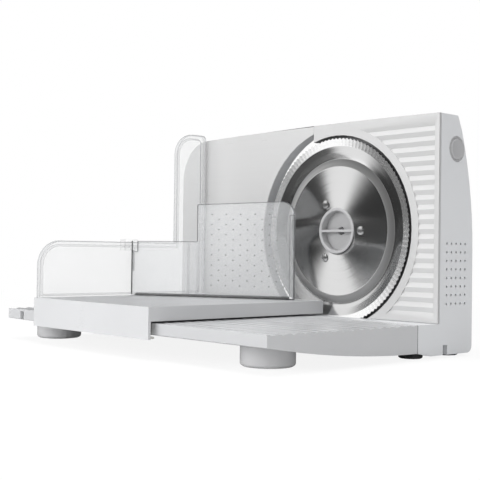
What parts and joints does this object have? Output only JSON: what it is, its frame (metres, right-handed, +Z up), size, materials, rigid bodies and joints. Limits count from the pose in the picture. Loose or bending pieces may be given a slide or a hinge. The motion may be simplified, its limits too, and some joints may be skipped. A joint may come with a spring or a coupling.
{
  "type": "food slicer",
  "caption": "Household food slicer: serrated round blade with quarter-turn lock, ribbed motor housing, sliding stop plate and carriage with clear guard and swivelling pusher.",
  "frame": {"origin": "on the floor, under the middle of the whole machine at rest", "axes": "+X along the cut towards the motor end, +Y away from the user towards the housing, +Z up"},
  "size_m": [0.3624, 0.2644, 0.2075],
  "materials": {
    "base_plastic": "light grey moulded plastic, satin",
    "silver_plastic": "silver-grey moulded plastic, fine metallic paint",
    "brushed_face": "finely brushed sheet steel",
    "polished_steel": "circular-polished stainless steel",
    "machine_steel": "plain machined or pressed steel",
    "clear_plastic": "clear injection-moulded plastic",
    "rubber": "black moulded rubber",
    "black_plastic": "black moulded plastic",
    "nylon": "natural white moulded nylon",
    "winding": "copper winding on a laminated core",
    "bronze": "sintered bronze",
    "button_plastic": "grey moulded plastic, satin"
  },
  "bodies": {
    "machine": {"base_plate": "base_plastic", "motor_housing": "silver_plastic", "front_panel": "brushed_face", "front_foot_left": "base_plastic", "front_foot_right": "base_plastic", "foot_pad_left": "rubber", "foot_pad_right": "rubber", "rubber_foot_1": "rubber", "rubber_foot_2": "rubber", "rubber_foot_3": "rubber", "rubber_foot_4": "rubber", "motor_can": "machine_steel", "motor_end_bell": "black_plastic", "motor_bracket": "machine_steel", "worm_bearing": "black_plastic", "spindle": "machine_steel", "spindle_plate": "machine_steel", "adjuster_housing": "silver_plastic", "guide_rod_left": "machine_steel", "guide_rod_right": "machine_steel", "button_sleeve": "button_plastic", "micro_switch": "black_plastic", "button_spring": "machine_steel"},
    "blade": {"slicing_blade": "polished_steel", "blade_rivet_1": "polished_steel", "blade_rivet_2": "polished_steel", "blade_rivet_3": "polished_steel", "drive_gear": "nylon", "hub_bush": "bronze"},
    "lock": {"lock_knob": "button_plastic"},
    "rotor": {"motor_shaft": "machine_steel", "worm": "machine_steel", "armature": "winding", "cooling_fan": "black_plastic"},
    "stop": {"stop_plate": "brushed_face", "plate_carrier": "base_plastic", "cam_follower": "machine_steel"},
    "dial": {"thickness_dial": "base_plastic", "barrel_cam": "black_plastic"},
    "carriage": {"carriage_table": "base_plastic", "carriage_guard": "clear_plastic", "front_hook": "nylon", "glide_pad_1": "nylon", "glide_pad_2": "nylon", "glide_pad_3": "nylon", "glide_pad_4": "nylon"},
    "pusher_saddle": {"pusher_slider": "clear_plastic"},
    "pusher": {"pusher_plate": "clear_plastic"},
    "button": {"power_button": "button_plastic"}
  },
  "joints": [
    {"name": "blade_spin", "type": "hinge", "parent": "machine", "child": "blade", "pos_m": [0.0651, 0.07015, 0.1064], "axis": [0, 1, 0], "continuous": true},
    {"name": "lock_turn", "type": "hinge", "parent": "blade", "child": "lock", "pos_m": [0.0651, 0.07015, 0.1064], "axis": [0, 1, 0], "range_deg": [0, 90]},
    {"name": "rotor_spin", "type": "hinge", "parent": "machine", "child": "rotor", "pos_m": [0.0651, 0.09635, 0.0664], "axis": [1, 0, 0], "continuous": true},
    {"name": "stop_slide", "type": "slide", "parent": "machine", "child": "stop", "axis": [0, 1, 0], "range_m": [0, 0.015]},
    {"name": "dial_turn", "type": "hinge", "parent": "machine", "child": "dial", "pos_m": [-0.1069, 0.07015, 0.068], "axis": [0, 1, 0], "range_deg": [0, 300]},
    {"name": "carriage_slide", "type": "slide", "parent": "machine", "child": "carriage", "axis": [1, 0, 0], "range_m": [-0.058, 0.126]},
    {"name": "pusher_slide", "type": "slide", "parent": "carriage", "child": "pusher_saddle", "axis": [0, 1, 0], "range_m": [-0.07, 0.008]},
    {"name": "pusher_swivel", "type": "hinge", "parent": "pusher_saddle", "child": "pusher", "pos_m": [-0.111, -0.02835, 0.0623], "axis": [0, 0, 1], "range_deg": [-29, 0]},
    {"name": "button_press", "type": "slide", "parent": "machine", "child": "button", "axis": [-1, 0, 0], "range_m": [0, 0.003], "stiffness_N_per_m": 700, "springref_m": -0.002, "deforming": ["button_spring"]}
  ],
  "couplings": [
    {"joint": "rotor_spin", "follows": "blade_spin", "ratio": 20},
    {"joint": "dial_turn", "follows": "stop_slide", "rad_per_m": 349.07}
  ]
}
